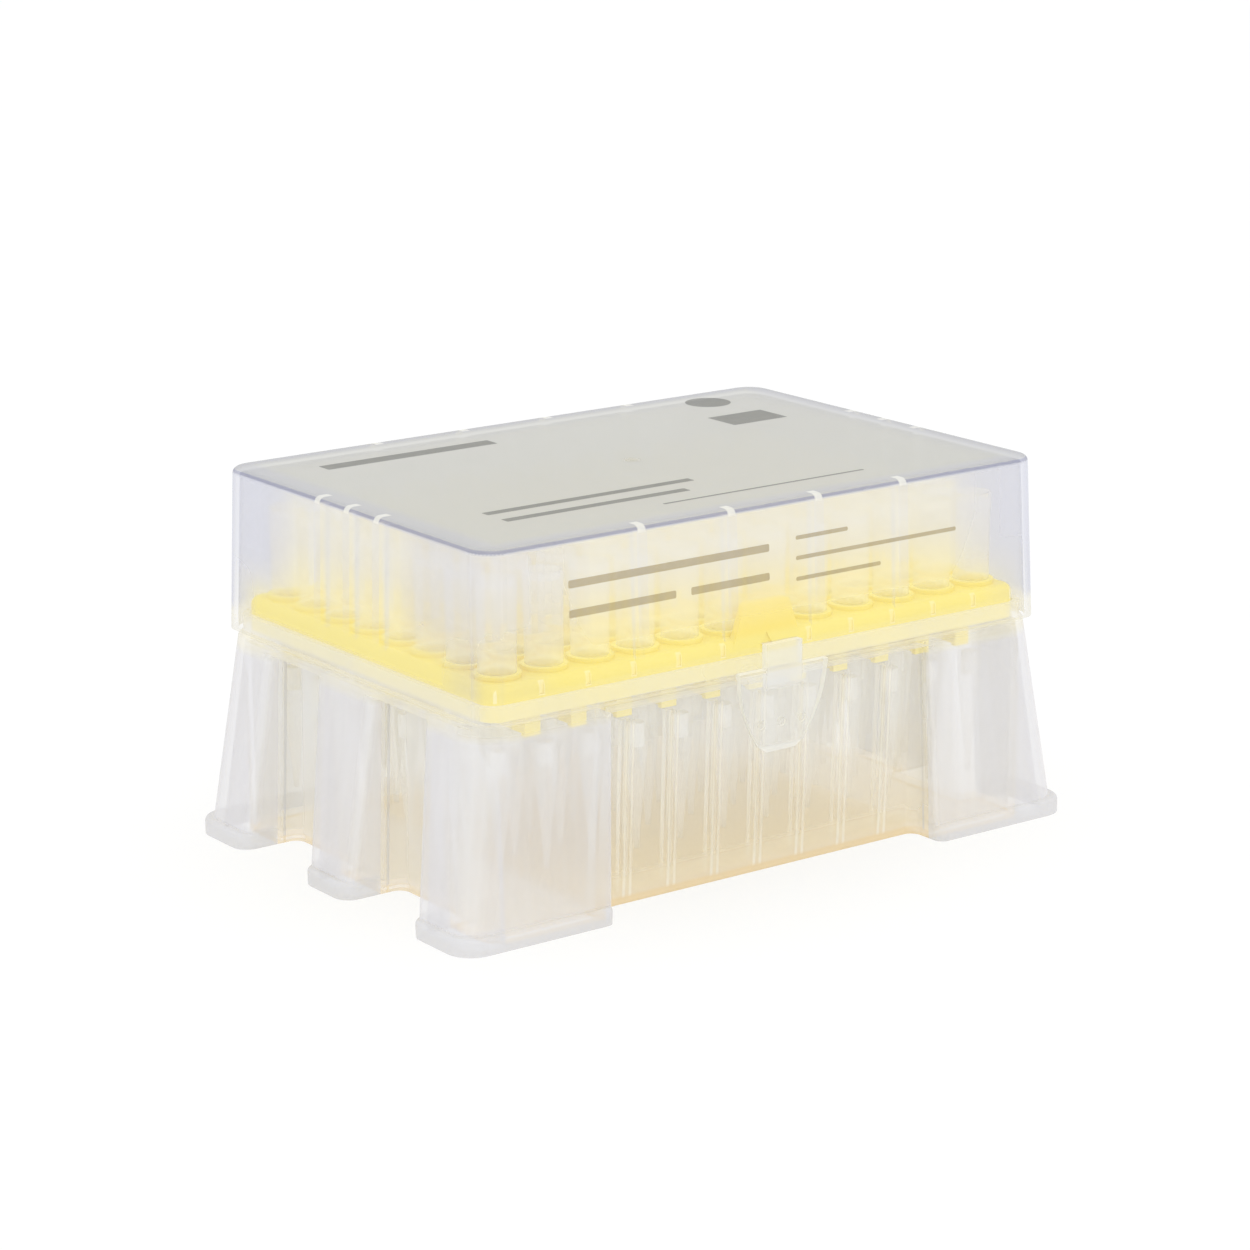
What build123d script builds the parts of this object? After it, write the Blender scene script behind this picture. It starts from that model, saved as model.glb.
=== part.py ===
from build123d import *
import os

# Box of pipette tips: a hollow-footed base, a drilled tip tray, 96 filter tips and a hinged lid.
# Millimetres, Z up. The origin is the middle of the foot flange on the bench plane z = 0.
# X runs along the long side and Y towards the hinge, so the latch is at -Y.

# Tip layout. The plan sizes below are the grid of tips plus named margins
PITCH = 9.0
COLUMNS = 12
ROWS = 8
GRID_L, GRID_W = (COLUMNS - 1) * PITCH, (ROWS - 1) * PITCH
COLUMN_X = [i * PITCH - GRID_L / 2 for i in range(COLUMNS)]
ROW_Y = [j * PITCH - GRID_W / 2 for j in range(ROWS)]

# Clearances and walls
RUN = 0.3
LIP_RUN = 0.4
WALL = 1.2
MERGE = 0.5
PAST = 5.0

# Tub that holds the tray; its top edge is the lip inside the lid
TUB_IN_L, TUB_IN_W, TUB_IN_R = GRID_L + 11.7, GRID_W + 12.4, 3.0
TUB_L, TUB_W, TUB_R = TUB_IN_L + 2 * WALL, TUB_IN_W + 2 * WALL, TUB_IN_R + WALL
LIP_Z = 38.9
FLOOR_Z = 0.5
FLOOR_TOP_Z = FLOOR_Z + WALL

# Skirt round the tub, flaring downward into the feet
SKIRT_TOP_L, SKIRT_TOP_W, SKIRT_TOP_R = TUB_L + 4.5, TUB_W + 2.0, 8.5
SKIRT_LOW_L, SKIRT_LOW_W, SKIRT_LOW_R = SKIRT_TOP_L + 8.3, SKIRT_TOP_W + 2.8, 4.5
SHOULDER_Z = 36.0
SHOULDER_ROUND = 0.7
ROOF_Z = SHOULDER_Z - WALL

# Foot flange
FOOT_L, FOOT_W, FOOT_R = SKIRT_LOW_L + 1.86, SKIRT_LOW_W + 1.8, 4.8
FOOT_H = 3.0
FOOT_ROUND = 0.9

# Finger recesses in the long sides, at the floor and at the roof
SIDE_LOW_X, SIDE_TOP_X = 34.3, 33.0
SIDE_LOW_Y, SIDE_TOP_Y = GRID_W / 2 + 3.3, GRID_W / 2 + 4.9
# Paired recesses in the ends
END_LOW_Y = (6.7, 26.3)
END_TOP_Y = (8.6, 23.8)
END_LOW_X, END_TOP_X = GRID_L / 2 + 2.9, GRID_L / 2 + 3.9
RECESS_R = 2.0
# Rounding of the upright edges at the mouths, on the feet and on the skirt above them
FOOT_END_R, FOOT_SIDE_R = 3.0, 1.8
SKIRT_END_R, SKIRT_SIDE_R = FOOT_END_R - 0.9, FOOT_SIDE_R - 0.8
# The hollows in the feet start beyond this share of the tub's corners
HOLLOW_X = TUB_L / 2 - TUB_R / 2

# Ribs inside the tub, on the side recess walls
TUB_RIB_W, TUB_RIB_D = 1.6, 1.0
TUB_RIB_TOP = 31.4

# Tip tray
TRAY_L, TRAY_W = TUB_IN_L - 2 * RUN, TUB_IN_W - 2 * RUN
TRAY_R = TUB_IN_R - RUN
TRAY_TOP = 41.8
TRAY_PLATE = 1.5
TRAY_ROUND = 1.4
COLLAR_R, COLLAR_TOP = 3.9, 42.5
BORE_R = 2.6
WEB_T = 1.2
WEB_Y_REACH, WEB_Y_LOW = GRID_W / 2 + 3.1, 31.8
WEB_X_REACH, WEB_X_LOW = GRID_L / 2 + 2.1, 34.0
WEB_FOOT_W, WEB_FOOT_D = 3.0, 1.0
TICK_W, TICK_D, TICK_Z = 0.9, 0.35, 39.3
TAB_LOW, TAB_TOP, TAB_Z, TAB_T = 14.0, 9.2, TRAY_TOP + 5.7, 1.4
TAB_R = 1.2
MARK_SIDE, MARK_Z, MARK_D = 2.6, 40.6, 0.4

# Tips: outer then inner radii against height
TIP_POINT_Z = 7.8
TIP_TOP_Z = COLLAR_TOP + 15.3
TIP_OUTER = [(0.45, TIP_POINT_Z), (0.62, 11.0), (1.95, 25.0), (2.22, 34.0), (2.42, COLLAR_TOP),
             (3.15, COLLAR_TOP), (3.3, TIP_TOP_Z)]
FILTER_R = 1.4
FILTER_LOW, FILTER_TOP = 25.4, 29.4
TIP_INNER = [(2.75, TIP_TOP_Z), (2.4, 46.5), (1.85, 41.0), (FILTER_R, FILTER_TOP),
             (FILTER_R, FILTER_LOW), (0.25, 11.0), (0.22, TIP_POINT_Z)]

# Lid
LID_LOW_L, LID_LOW_W = TUB_L + 2 * (WALL + LIP_RUN), TUB_W + 2 * (WALL + LIP_RUN)
LID_DRAFT = 0.85
LID_TOP_L, LID_TOP_W = LID_LOW_L - 2 * LID_DRAFT, LID_LOW_W - 2 * LID_DRAFT
LID_R = 4.5
HEADROOM = 5.5
LID_LOW_Z, LID_TOP_Z = SHOULDER_Z + RUN, TIP_TOP_Z + HEADROOM + WALL
LID_ROUND = 1.1
LID_RIB_W, LID_RIB_D, LID_RIB_LOW = 1.8, 0.8, 42.0
SIDE_RIB_X = [-3 * PITCH, -PITCH, PITCH, 3 * PITCH]
END_RIB_Y = [-PITCH, 0.0, PITCH]
GATE_R, GATE_D = 1.6, 0.4

# Latch shield on the front of the lid: half width against height
LATCH_FACE = FOOT_W / 2 - 0.05
LATCH_T = 1.0
LATCH_LEAN = 1.0
LATCH_HALF = [(9.1, 37.2), (8.9, 34.4), (8.2, 31.0), (6.5, 27.0), (4.6, 23.9), (3.0, 22.8)]
LATCH_FOOT_R = 1.5
BOSS_W, BOSS_LOW, BOSS_TOP = 7.4, 34.0, 41.4
GRIP_X, GRIP_Z, GRIP_R = [-4.2, 0.0, 4.2], 27.7, 0.8
# The catch on the shield stops under the keeper on the shoulder edge
KEEPER_W, KEEPER_OUT = 12.0, SKIRT_TOP_W / 2 + 0.45
CATCH_W, CATCH_R, CATCH_Z = 10.0, 0.5, ROOF_Z - 1.2
CATCH_OUT = KEEPER_OUT + RUN + CATCH_R

# Hinge in the rear finger recess
HINGE_Y, HINGE_Z = SKIRT_TOP_W / 2 - 0.4, ROOF_Z - 2.3
HINGE_X = [-20.0, 20.0]
PIN_R = 0.9
LOOP_R = PIN_R + RUN + 0.8
LOOP_W = 7.0
LOOP_MOUTH = 1.5
LUG_T = 2.0
LUG_R = 1.9
LUG_DROP = 4.0
ARM_IN = SKIRT_TOP_W / 2 + LIP_RUN
ARM_OUT = ARM_IN + 1.3
ARM_LOW, ARM_TOP = LID_LOW_Z + 2.1, LID_LOW_Z + 5.7


def slab(length, width, radius, z):
    """Rounded rectangle, centred on Z, lying at height z."""
    return Plane.XY.offset(z) * RectangleRounded(length, width, radius)


def prism(length, width, radius, low, top):
    return extrude(slab(length, width, radius, low), top - low)


def flare(low, top):
    """Solid between two rounded rectangles, each (length, width, radius, z)."""
    return loft([slab(*low).face(), slab(*top).face()], ruled=True)


def block(x0, x1, y0, y1, z0, z1):
    return Pos((x0 + x1) / 2, (y0 + y1) / 2, (z0 + z1) / 2) * Box(x1 - x0, y1 - y0, z1 - z0)


def across_x(points, width):
    """Outline of (y, z) points, extruded evenly to both sides of x = 0."""
    return extrude(Plane.YZ * make_face(Polyline(*points, close=True)), width / 2, both=True)


def across_y(points, width):
    """Outline of (x, z) points, extruded evenly to both sides of y = 0."""
    return extrude(Plane.XZ * make_face(Polyline(*points, close=True)), width / 2, both=True)


def between(low, top, z):
    """Value at height z of a line from low at z = 0 to top at the recess roof."""
    return low + (top - low) * z / ROOF_Z


def recess_rect(x0, x1, y0, y1, z):
    middle = Location(((x0 + x1) / 2, (y0 + y1) / 2, z))
    return (middle * RectangleRounded(x1 - x0, y1 - y0, RECESS_R)).face()


def side_recess(grow):
    """Space of a front finger recess, or with grow the space and a wall of that thickness."""
    low, top = -PAST, ROOF_Z + grow
    faces = []
    for z in (low, top):
        half = between(SIDE_LOW_X, SIDE_TOP_X, z) + grow
        depth = between(SIDE_LOW_Y, SIDE_TOP_Y, z) - grow
        faces.append(recess_rect(-half, half, -FOOT_W / 2 - PAST, -depth, z))
    return loft(faces, ruled=True)


def end_recess(grow):
    """Space of one recess in the right-hand end, on its +Y side."""
    low, top = -PAST, ROOF_Z + grow
    faces = []
    for z in (low, top):
        near = between(END_LOW_Y[0], END_TOP_Y[0], z) - grow
        far = between(END_LOW_Y[1], END_TOP_Y[1], z) + grow
        depth = between(END_LOW_X, END_TOP_X, z) - grow
        faces.append(recess_rect(depth, FOOT_L / 2 + PAST, near, far, z))
    return loft(faces, ruled=True)


def recesses(grow):
    side = side_recess(grow)
    end = end_recess(grow)
    shapes = [side, mirror(side, Plane.XZ)]
    for piece in (end, mirror(end, Plane.XZ)):
        shapes += [piece, mirror(piece, Plane.YZ)]
    return shapes


def round_mouths(body, height, end_radius, side_radius):
    """Round the upright edges where the recess walls meet the outside of the body."""
    tall = [e for e in body.edges() if abs((e @ 1).Z - (e @ 0).Z) > height - RUN]
    ends = [e for e in tall if abs((e @ 0).X) > TUB_L / 2 and abs((e @ 0).Y) < SIDE_LOW_Y]
    body = fillet(ends, end_radius)
    tall = [e for e in body.edges() if abs((e @ 1).Z - (e @ 0).Z) > height - RUN]
    sides = [e for e in tall if abs((e @ 0).Y) > TUB_W / 2 and abs((e @ 0).X) < SIDE_LOW_X + MERGE]
    return fillet(sides, side_radius)


def shell_of_base():
    """Outside of the base: foot flange, flaring skirt and the lip of the tub above it."""
    cuts = recesses(0)
    flange = prism(FOOT_L, FOOT_W, FOOT_R, 0, FOOT_H) - cuts
    flange = round_mouths(flange, FOOT_H, FOOT_END_R, FOOT_SIDE_R)
    flange = fillet(flange.faces().sort_by(Axis.Z)[-1].edges(), FOOT_ROUND)
    skirt = flare((SKIRT_LOW_L, SKIRT_LOW_W, SKIRT_LOW_R, 0),
                  (SKIRT_TOP_L, SKIRT_TOP_W, SKIRT_TOP_R, SHOULDER_Z)) - cuts
    skirt = round_mouths(skirt, ROOF_Z, SKIRT_END_R, SKIRT_SIDE_R)
    skirt = fillet(skirt.faces().sort_by(Axis.Z)[-1].edges(), SHOULDER_ROUND)
    tub = prism(TUB_L, TUB_W, TUB_R, 0, LIP_Z) - cuts
    return skirt + tub + flange


def foot_pockets(walls):
    """Hollows in the flared feet, beyond the ends of the tub, open underneath."""
    space = flare((SKIRT_LOW_L - 2 * WALL, SKIRT_LOW_W - 2 * WALL, SKIRT_LOW_R - WALL, -PAST),
                  (SKIRT_TOP_L - 2 * WALL, SKIRT_TOP_W - 2 * WALL, SKIRT_TOP_R - WALL, ROOF_Z))
    middle = block(-HOLLOW_X, HOLLOW_X, -FOOT_W / 2, FOOT_W / 2, -2 * PAST, LIP_Z)
    return space - prism(TUB_L, TUB_W, TUB_R, -2 * PAST, LIP_Z) - middle - walls


def tub_ribs():
    """Ribs that stiffen the two side recess walls, between the rows of tips."""
    low = between(SIDE_LOW_Y, SIDE_TOP_Y, 0) - WALL
    top = between(SIDE_LOW_Y, SIDE_TOP_Y, TUB_RIB_TOP) - WALL
    outline = [(-low - MERGE, FLOOR_Z), (-low + TUB_RIB_D, FLOOR_Z),
               (-top + TUB_RIB_D, TUB_RIB_TOP), (-top - MERGE, TUB_RIB_TOP)]
    rib = across_x(outline, TUB_RIB_W)
    ribs = [Pos(k * PITCH, 0, 0) * rib for k in range(-3, 4)]
    return ribs + [mirror(r, Plane.XZ) for r in ribs]


def hinge_lugs():
    """Pairs of lugs in the rear recess with a pin between them."""
    shapes = []
    reach = LOOP_W / 2 + RUN
    plate = across_x([(SIDE_TOP_Y - MERGE, HINGE_Z - LUG_DROP), (HINGE_Y, HINGE_Z - LUG_R),
                      (HINGE_Y, ROOF_Z + MERGE), (SIDE_TOP_Y - MERGE, ROOF_Z + MERGE)], LUG_T)
    plate += Pos(0, HINGE_Y, HINGE_Z) * Rot(0, 90, 0) * Cylinder(LUG_R, LUG_T)
    for x in HINGE_X:
        for side in (-1, 1):
            shapes.append(Pos(x + side * (reach + LUG_T / 2), 0, 0) * plate)
        shapes.append(Pos(x, HINGE_Y, HINGE_Z) * Rot(0, 90, 0) * Cylinder(PIN_R, 2 * reach + LUG_T))
    return shapes


def keeper():
    """Low ridge on the shoulder edge that the latch catch sits under."""
    return block(-KEEPER_W / 2, KEEPER_W / 2, -KEEPER_OUT, -TUB_W / 2,
                 ROOF_Z, SHOULDER_Z - SHOULDER_ROUND)


def make_base():
    walls = recesses(WALL)
    cavity = prism(TUB_IN_L, TUB_IN_W, TUB_IN_R, FLOOR_TOP_Z, LIP_Z + PAST) - walls
    underside = prism(TUB_IN_L, TUB_IN_W, TUB_IN_R, -PAST, FLOOR_Z) - walls
    body = shell_of_base() - cavity - underside - foot_pockets(walls)
    return body + tub_ribs() + hinge_lugs() + keeper()


def web_along_y():
    """Web between two columns of tips, its lower part short of the recess walls."""
    top = TRAY_TOP - TRAY_PLATE + MERGE
    wide = TRAY_W / 2 - MERGE
    step = SHOULDER_Z + RUN
    points = [(-WEB_Y_REACH, WEB_Y_LOW), (WEB_Y_REACH, WEB_Y_LOW), (WEB_Y_REACH, step),
              (wide, step), (wide, top), (-wide, top), (-wide, step), (-WEB_Y_REACH, step)]
    web = across_x(points, WEB_T)
    foot = block(-WEB_FOOT_W / 2, WEB_FOOT_W / 2, WEB_Y_REACH - WEB_FOOT_D, WEB_Y_REACH,
                 WEB_Y_LOW, top)
    return web + foot + mirror(foot, Plane.XZ)


def web_along_x():
    """Web between two rows of tips."""
    top = TRAY_TOP - TRAY_PLATE + MERGE
    wide = TRAY_L / 2 - MERGE
    step = SHOULDER_Z + RUN
    points = [(-WEB_X_REACH, WEB_X_LOW), (WEB_X_REACH, WEB_X_LOW), (WEB_X_REACH, step),
              (wide, step), (wide, top), (-wide, top), (-wide, step), (-WEB_X_REACH, step)]
    return across_y(points, WEB_T)


def tray_tab():
    """Raised grip tab with a small arrow mark at the front of the tray."""
    face = -TRAY_W / 2
    low = TRAY_TOP - TRAY_PLATE
    outline = make_face(Polyline((-TAB_LOW / 2, low), (TAB_LOW / 2, low),
                                 (TAB_TOP / 2, TAB_Z), (-TAB_TOP / 2, TAB_Z), close=True))
    outline = fillet(outline.vertices().group_by(Axis.Y)[-1], TAB_R)
    plate = Plane((0, face, 0), x_dir=(1, 0, 0), z_dir=(0, -1, 0))
    tab = extrude(plate * outline, -TAB_T)
    arrow = Location((0, MARK_Z)) * Triangle(a=MARK_SIDE, b=MARK_SIDE, c=MARK_SIDE)
    mark = extrude(plate.offset(-MARK_D) * arrow, PAST)
    return tab, mark


def make_tray():
    tray = prism(TRAY_L, TRAY_W, TRAY_R, SHOULDER_Z, TRAY_TOP)
    tray = fillet(tray.faces().sort_by(Axis.Z)[-1].edges(), TRAY_ROUND)
    tray -= prism(TRAY_L - 2 * WALL, TRAY_W - 2 * WALL, TRAY_R - WALL, 0, TRAY_TOP - TRAY_PLATE)
    webs = [Pos(k * PITCH, 0, 0) * web_along_y() for k in range(-5, 6)]
    webs += [Pos(0, k * PITCH, 0) * web_along_x() for k in range(-3, 4)]
    tab, mark = tray_tab()
    sites = [Pos(x, y, 0) for x in COLUMN_X for y in ROW_Y]
    collar = Pos(0, 0, COLLAR_TOP) * Cylinder(COLLAR_R, TRAY_PLATE, align=(Align.CENTER,
                                                                       Align.CENTER, Align.MAX))
    bore = Pos(0, 0, COLLAR_TOP) * Cylinder(BORE_R, 2 * PAST)
    tick = block(-TICK_W / 2, TICK_W / 2, -TRAY_W / 2 - PAST, -TRAY_W / 2 + TICK_D,
                 TICK_Z, TRAY_TOP + PAST)
    ticks = [Pos(k * PITCH, 0, 0) * tick for k in range(-5, 6) if k != 0]
    tray = tray + webs + tab - mark - ticks
    tray += [site * collar for site in sites]
    return tray - [site * bore for site in sites]


def make_tip():
    """Hollow stepped tip, one closed outline turned about its own axis."""
    profile = make_face(Plane.XZ * Polyline(*TIP_OUTER, *TIP_INNER, close=True))
    return revolve(profile, Axis.Z)


def make_filter():
    return Pos(0, 0, (FILTER_LOW + FILTER_TOP) / 2) * Cylinder(FILTER_R, FILTER_TOP - FILTER_LOW)


def lid_shell():
    outer = flare((LID_LOW_L, LID_LOW_W, LID_R, LID_LOW_Z), (LID_TOP_L, LID_TOP_W, LID_R, LID_TOP_Z))
    outer = fillet(outer.faces().sort_by(Axis.Z)[-1].edges(), LID_ROUND)
    inner = flare((LID_LOW_L - 2 * WALL, LID_LOW_W - 2 * WALL, LID_R - WALL, LID_LOW_Z),
                  (LID_TOP_L - 2 * WALL, LID_TOP_W - 2 * WALL, LID_R - WALL, LID_TOP_Z - WALL))
    gate = Pos(0, 0, LID_TOP_Z) * Cylinder(GATE_R, 2 * GATE_D)
    return outer - inner - gate


def lid_ribs():
    """Ribs down the inside of the four walls, each passing between two rows of tips."""
    shapes = []
    draft = LID_DRAFT / (LID_TOP_Z - LID_LOW_Z)
    for low_width, places, turn in ((LID_LOW_W, SIDE_RIB_X, 0), (LID_LOW_L, END_RIB_Y, 90)):
        foot = low_width / 2 - WALL - draft * (LID_RIB_LOW - LID_LOW_Z)
        head = low_width / 2 - WALL - LID_DRAFT
        roof = LID_TOP_Z - WALL + MERGE
        outline = [(-foot - MERGE, LID_RIB_LOW), (-foot + LID_RIB_D, LID_RIB_LOW + LID_RIB_D),
                   (-head + LID_RIB_D, roof), (-head - MERGE, roof)]
        rib = across_x(outline, LID_RIB_W)
        for place in places:
            for side in (0, 180):
                shapes.append(Rot(0, 0, turn + side) * Pos(place, 0, 0) * rib)
    return shapes


def latch():
    """Tapering shield that leans into the finger recess, with its boss and catch."""
    half, top = LATCH_HALF[0]
    slope = LATCH_LEAN / (top - LATCH_HALF[-1][1])
    right = [(x, z - top) for x, z in LATCH_HALF]
    left = [(-x, z) for x, z in reversed(right)]
    outline = make_face(Polyline(*right, *left, close=True))
    outline = fillet(outline.vertices().group_by(Axis.Y)[0], LATCH_FOOT_R)
    plane = Plane((0, -LATCH_FACE, top), x_dir=(1, 0, 0), z_dir=(0, -1, -slope))
    shield = extrude(plane * outline, -LATCH_T)
    rim = LID_LOW_W / 2 - WALL / 2
    bridge = block(-half, half, -LATCH_FACE, -rim, LID_LOW_Z, top)
    boss = block(-BOSS_W / 2, BOSS_W / 2, -LATCH_FACE, -rim, LID_LOW_Z, BOSS_TOP)
    boss += block(-BOSS_W / 2, BOSS_W / 2, -LATCH_FACE, -LATCH_FACE + LATCH_T, BOSS_LOW, BOSS_TOP)
    catch = Pos(0, -CATCH_OUT, CATCH_Z) * Rot(0, 90, 0) * Cylinder(CATCH_R, CATCH_W)
    grips = [plane * Pos(x, GRIP_Z - top, 0) * Sphere(GRIP_R) for x in GRIP_X]
    return [shield, bridge, boss, catch], grips


def hinge_clip():
    """Arm outside the shoulder and a C-shaped loop that snaps onto the hinge pin."""
    axis = Pos(0, HINGE_Y, HINGE_Z) * Rot(0, 90, 0)
    wall = LID_LOW_W / 2 - WALL / 2
    arm = across_x([(ARM_IN, HINGE_Z), (ARM_OUT, HINGE_Z), (ARM_OUT, ARM_LOW),
                    (wall, ARM_TOP), (wall, LID_LOW_Z), (ARM_IN, LID_LOW_Z)], LOOP_W)
    loop = axis * Cylinder(LOOP_R, LOOP_W)
    mouth = block(-LOOP_W, LOOP_W, HINGE_Y - 2 * LOOP_R, HINGE_Y,
                  HINGE_Z - LOOP_MOUTH / 2, HINGE_Z + LOOP_MOUTH / 2)
    hole = axis * Cylinder(PIN_R + RUN, 2 * LOOP_W)
    return arm + loop - mouth - hole


def make_lid():
    add, grips = latch()
    lid = lid_shell() + lid_ribs() + add
    lid += [Pos(x, 0, 0) * hinge_clip() for x in HINGE_X]
    return lid - grips


def write(shape, name):
    shape.label = name
    export_step(shape, f"parts/{name}.step")


os.makedirs("parts", exist_ok=True)

write(make_base(), "base")
write(make_tray(), "tip_tray")
write(make_lid(), "lid")

tip = make_tip()
plug = make_filter()
for number, x in enumerate(COLUMN_X, 1):
    places = [Pos(x, y, 0) for y in ROW_Y]
    write(Compound(children=[place * tip for place in places]), f"tips_column_{number:02d}")
    write(Compound(children=[place * plug for place in places]), f"filters_column_{number:02d}")
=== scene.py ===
import math

import bpy
import numpy as np
from mathutils import Matrix, Vector


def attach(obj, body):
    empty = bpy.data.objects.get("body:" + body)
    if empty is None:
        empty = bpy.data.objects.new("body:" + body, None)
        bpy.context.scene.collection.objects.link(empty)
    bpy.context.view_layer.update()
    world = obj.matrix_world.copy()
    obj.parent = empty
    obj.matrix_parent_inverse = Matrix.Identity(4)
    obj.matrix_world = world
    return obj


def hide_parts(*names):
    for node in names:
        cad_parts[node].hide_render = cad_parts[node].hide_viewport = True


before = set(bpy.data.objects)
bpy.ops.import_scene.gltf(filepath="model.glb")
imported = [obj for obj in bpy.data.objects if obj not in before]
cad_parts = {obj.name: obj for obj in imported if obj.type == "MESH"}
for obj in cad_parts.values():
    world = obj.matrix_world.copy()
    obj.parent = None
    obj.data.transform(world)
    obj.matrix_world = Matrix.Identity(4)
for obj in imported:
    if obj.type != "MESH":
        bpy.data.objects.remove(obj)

bl_info = {
    "name": "Pipette tip box looks",
    "version": (1, 0, 0),
    "blender": (4, 5, 0),
    "location": "View3D > Sidebar > Tip box",
    "description": "Plastics, tips, print and studio for a hinged box of pipette tips",
    "category": "Object",
}

MM = 0.001

# Tip layout, in mm
PITCH = 9.0
COLUMNS, ROWS = 12, 8
COLUMN_X = [(i - (COLUMNS - 1) / 2) * PITCH for i in range(COLUMNS)]
ROW_Y = [(j - (ROWS - 1) / 2) * PITCH for j in range(ROWS)]

# Sizes of the solids that the looks follow, in mm; half sizes are (half length, half width)
WALL = 1.2
TUB_HALF, TUB_R = (56.55, 38.9), 4.2
LID_HALF, LID_R = (58.15, 40.5), 4.5
LID_LOW_Z, LID_TOP_Z, LID_DRAFT = 36.3, 64.5, 0.85
LID_SLOPE = LID_DRAFT / (LID_TOP_Z - LID_LOW_Z)
LID_RIB_D = 0.8
SIDE_RIB_X, END_RIB_Y = (PITCH, 3 * PITCH), (0.0, PITCH)
FOOT_TOP_Z, TIP_STEP_Z = 3.0, 42.5

# A ray that has passed this many clear faces meets the next one closed, in this linear colour
DEEPEST = 7
DEEP_WHITE = (0.78, 0.76, 0.71)

# Gloss of the plastics, and depth of their grain in mm
PLASTIC_IOR = 1.49
GRAIN_DEPTH = 0.05


# ---------------------------------------------------------------- settings


def angle(name, description, degrees):
    """Angle property, given in degrees."""
    return bpy.props.FloatProperty(
        name=name, description=description, subtype="ANGLE", default=math.radians(degrees))


def length(name, description, millimetres):
    """Length property, given in mm."""
    return bpy.props.FloatProperty(
        name=name, description=description, unit="LENGTH", default=millimetres * MM)


def spot(name, description, x, y, z):
    """Position property, given in mm."""
    return bpy.props.FloatVectorProperty(
        name=name, description=description, subtype="TRANSLATION", unit="LENGTH", size=3,
        default=(x * MM, y * MM, z * MM))


def watts(name, description, default):
    """Light power property, given in watts."""
    return bpy.props.FloatProperty(
        name=name, description=description, unit="POWER", default=default)


def share(name, description, default):
    """Strength or opacity property."""
    return bpy.props.FloatProperty(
        name=name, description=description, subtype="FACTOR", min=0.0, default=default)


def shade(name, description, red, green, blue):
    """Linear colour property."""
    return bpy.props.FloatVectorProperty(
        name=name, description=description, subtype="COLOR", size=3, min=0.0, max=1.0,
        default=(red, green, blue))


class TipBoxCamera(bpy.types.PropertyGroup):
    """Where the camera stands and what it looks at."""

    azimuth: angle("Azimuth", "Turn about the upright, 0 straight in front of the latch", -35.958)
    elevation: angle("Elevation", "Height of the view above the bench", 14.949)
    roll: angle("Roll", "Turn about the line of sight", -0.4252)
    distance: length("Distance", "From the aim point to the camera", 638.557)
    aim: length("Aim height", "Height of the aim point on the box's upright middle line", 40.0)
    slide_across: length("Slide across", "Camera moved sideways from the line of sight", -1.297)
    slide_up: length("Slide up", "Camera moved upwards from the line of sight", -4.504)
    lens: bpy.props.FloatProperty(
        name="Lens", description="Focal length on a 36 mm sensor", unit="CAMERA", default=106.67)


class TipBoxStudio(bpy.types.PropertyGroup):
    """Lights, floor and surroundings."""

    key_place: spot("Key place", "Middle of the larger light", -300, -500, 600)
    key_size: length("Key size", "Side of the larger light", 520)
    key_power: watts("Key power", "Power of the larger light", 0.6)
    fill_place: spot("Fill place", "Middle of the smaller light", 520, -380, 420)
    fill_size: length("Fill size", "Side of the smaller light", 480)
    fill_power: watts("Fill power", "Power of the smaller light", 0.2)
    aim: length("Aim height", "Height that both lights point at, over the origin", 35)
    floor: shade("Floor", "Floor as the box's surfaces see it", 0.9, 0.9, 0.9)
    floor_shadow: shade("Floor shadow", "Part of the seen floor that takes shadows", 0.3, 0.3, 0.3)
    floor_glow: share("Floor glow", "Part of the seen floor that takes no shadow", 0.69)
    sky: shade("Surroundings", "Tone of the even light from all round", 0.98, 0.99, 1.0)
    sky_strength: share("Surroundings strength", "Strength of the even light", 1.07)
    sky_seen: shade("Surroundings, seen", "Tone of the surroundings in gloss", 0.8, 0.8, 0.8)


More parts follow.
